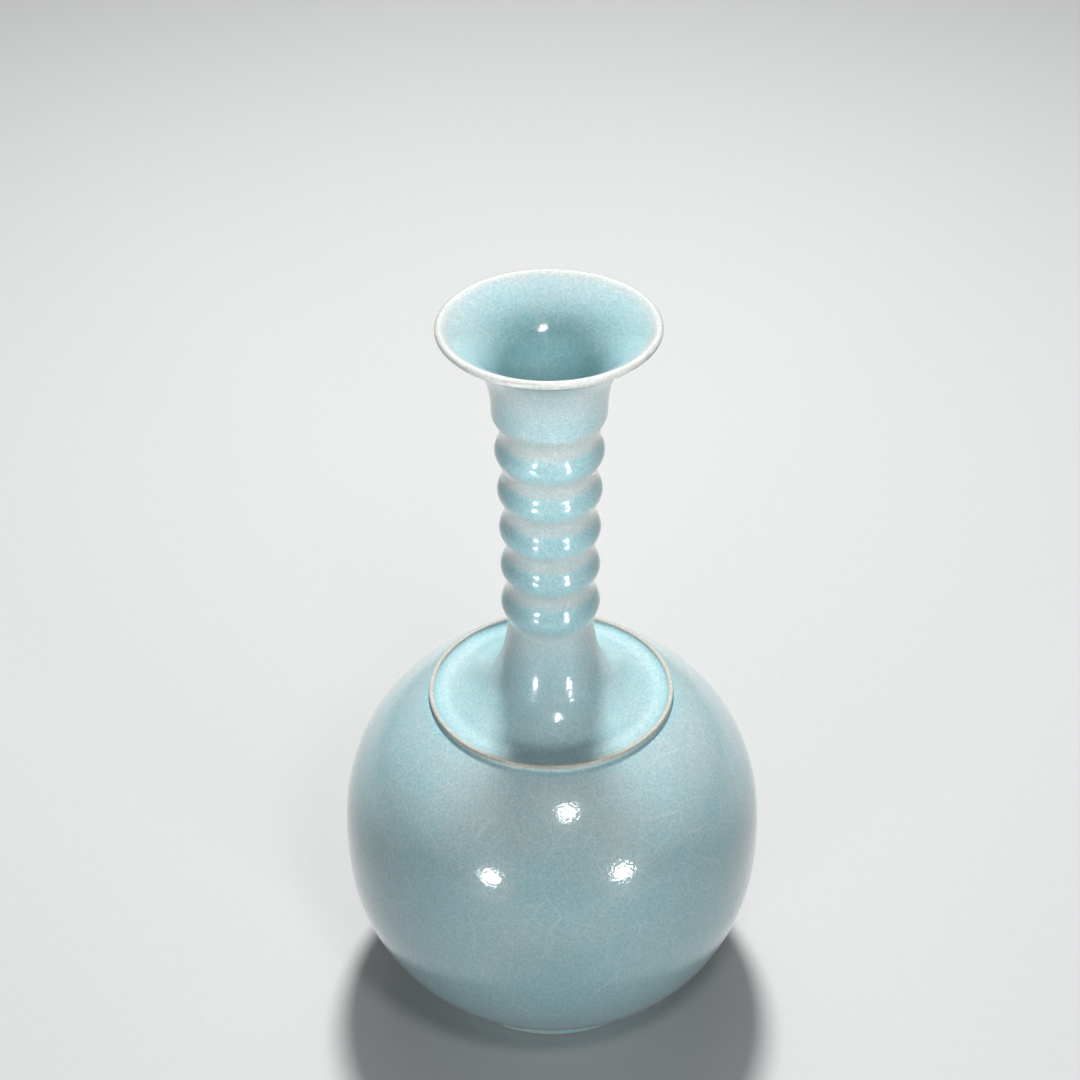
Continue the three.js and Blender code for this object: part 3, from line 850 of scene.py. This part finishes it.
# %% Lamps
def soft_lamp(name, target, azimuth, elevation, distance, size, brightness, mirrored=True):
    """A round lamp that faces a target in mm. Azimuth 0 is the side of the camera, and 90 is +X."""
    turn_round, lift = math.radians(azimuth), math.radians(elevation)
    way = Vector((math.sin(turn_round) * math.cos(lift), -math.cos(turn_round) * math.cos(lift), math.sin(lift)))
    lamp = bpy.data.lights.new(name, "AREA")
    lamp.shape = "DISK"
    lamp.size = size
    lamp.energy = brightness * math.pi * math.pi * (size / 2) ** 2
    lamp_object = bpy.data.objects.new(name, lamp)
    lamp_object.location = Vector(target) * MM + way * distance
    lamp_object.rotation_euler = way.to_track_quat("Z", "Y").to_euler()
    lamp_object.visible_camera = False
    lamp_object.visible_glossy = mirrored
    bpy.context.scene.collection.objects.link(lamp_object)
    return lamp_object


MIDDLE = (0, 0, 150)
soft_lamp("back_lamp", MIDDLE, azimuth=180, elevation=65, distance=1.6, size=0.25, brightness=200.0, mirrored=False)
soft_lamp("back_glow_lamp", MIDDLE, azimuth=180, elevation=60, distance=1.6, size=1.3, brightness=1.0)
soft_lamp("back_left_lamp", MIDDLE, azimuth=-140, elevation=50, distance=1.6, size=0.7, brightness=0.3,
          mirrored=False)
soft_lamp("high_front_lamp", (6, -66, 148), azimuth=12.9, elevation=52.6, distance=0.45, size=0.09, brightness=22.0)
soft_lamp("low_left_lamp", (-25, -80, 125), azimuth=-32.0, elevation=5.7, distance=1.4, size=0.25, brightness=32.0)
soft_lamp("low_right_lamp", (29, -78, 126), azimuth=36.5, elevation=6.6, distance=1.4, size=0.25, brightness=38.0)
neck_lamp = soft_lamp("neck_lamp", (0, 0, 295), azimuth=0, elevation=8, distance=0.9, size=0.2, brightness=0.55,
                      mirrored=False)
neck_lamp.data.spread = math.radians(16)
print("there are", len(bpy.data.lights), "lamps")

# %% [markdown]
# The room itself is almost dark, so the shadows stay clear and the dark edges of the glaze keep their depth.

# %% World
world = bpy.data.worlds.new("soft_room")
bpy.context.scene.world = world
world.use_nodes = True
room_light = world.node_tree.nodes["Background"].inputs
room_light["Color"].default_value = linear("#E4E6E8")
room_light["Strength"].default_value = 0.03

# %% [markdown]
# ## Camera
#
# The photograph looks down on the vase from the front, with a long lens. The place, the tilt and the lens were worked
# out from the ellipses of the lip, the collar and the foot, and from how much smaller the foot looks than the mouth.

# %% Camera
SENSOR_WIDTH = 36
LENS = 75.486
CAMERA_PLACE = (0, -752.58 * MM, 779.75 * MM)
camera_data = bpy.data.cameras.new("camera")
camera_data.sensor_fit = "HORIZONTAL"
camera_data.sensor_width = SENSOR_WIDTH
camera_data.lens = LENS
camera = bpy.data.objects.new("camera", camera_data)
tilt_down, yaw, roll = math.radians(35.763), math.radians(0.3178), math.radians(-0.5526)
aim = (Matrix.Rotation(yaw, 4, "Z") @ Matrix.Rotation(math.pi / 2 - tilt_down, 4, "X")
       @ Matrix.Rotation(roll, 4, "Z"))
camera.matrix_world = Matrix.Translation(CAMERA_PLACE) @ aim
bpy.context.scene.collection.objects.link(camera)
bpy.context.scene.camera = camera
bpy.context.scene.view_settings.view_transform = "Standard"
print("the camera looks down at", round(math.degrees(tilt_down), 1), "degrees")
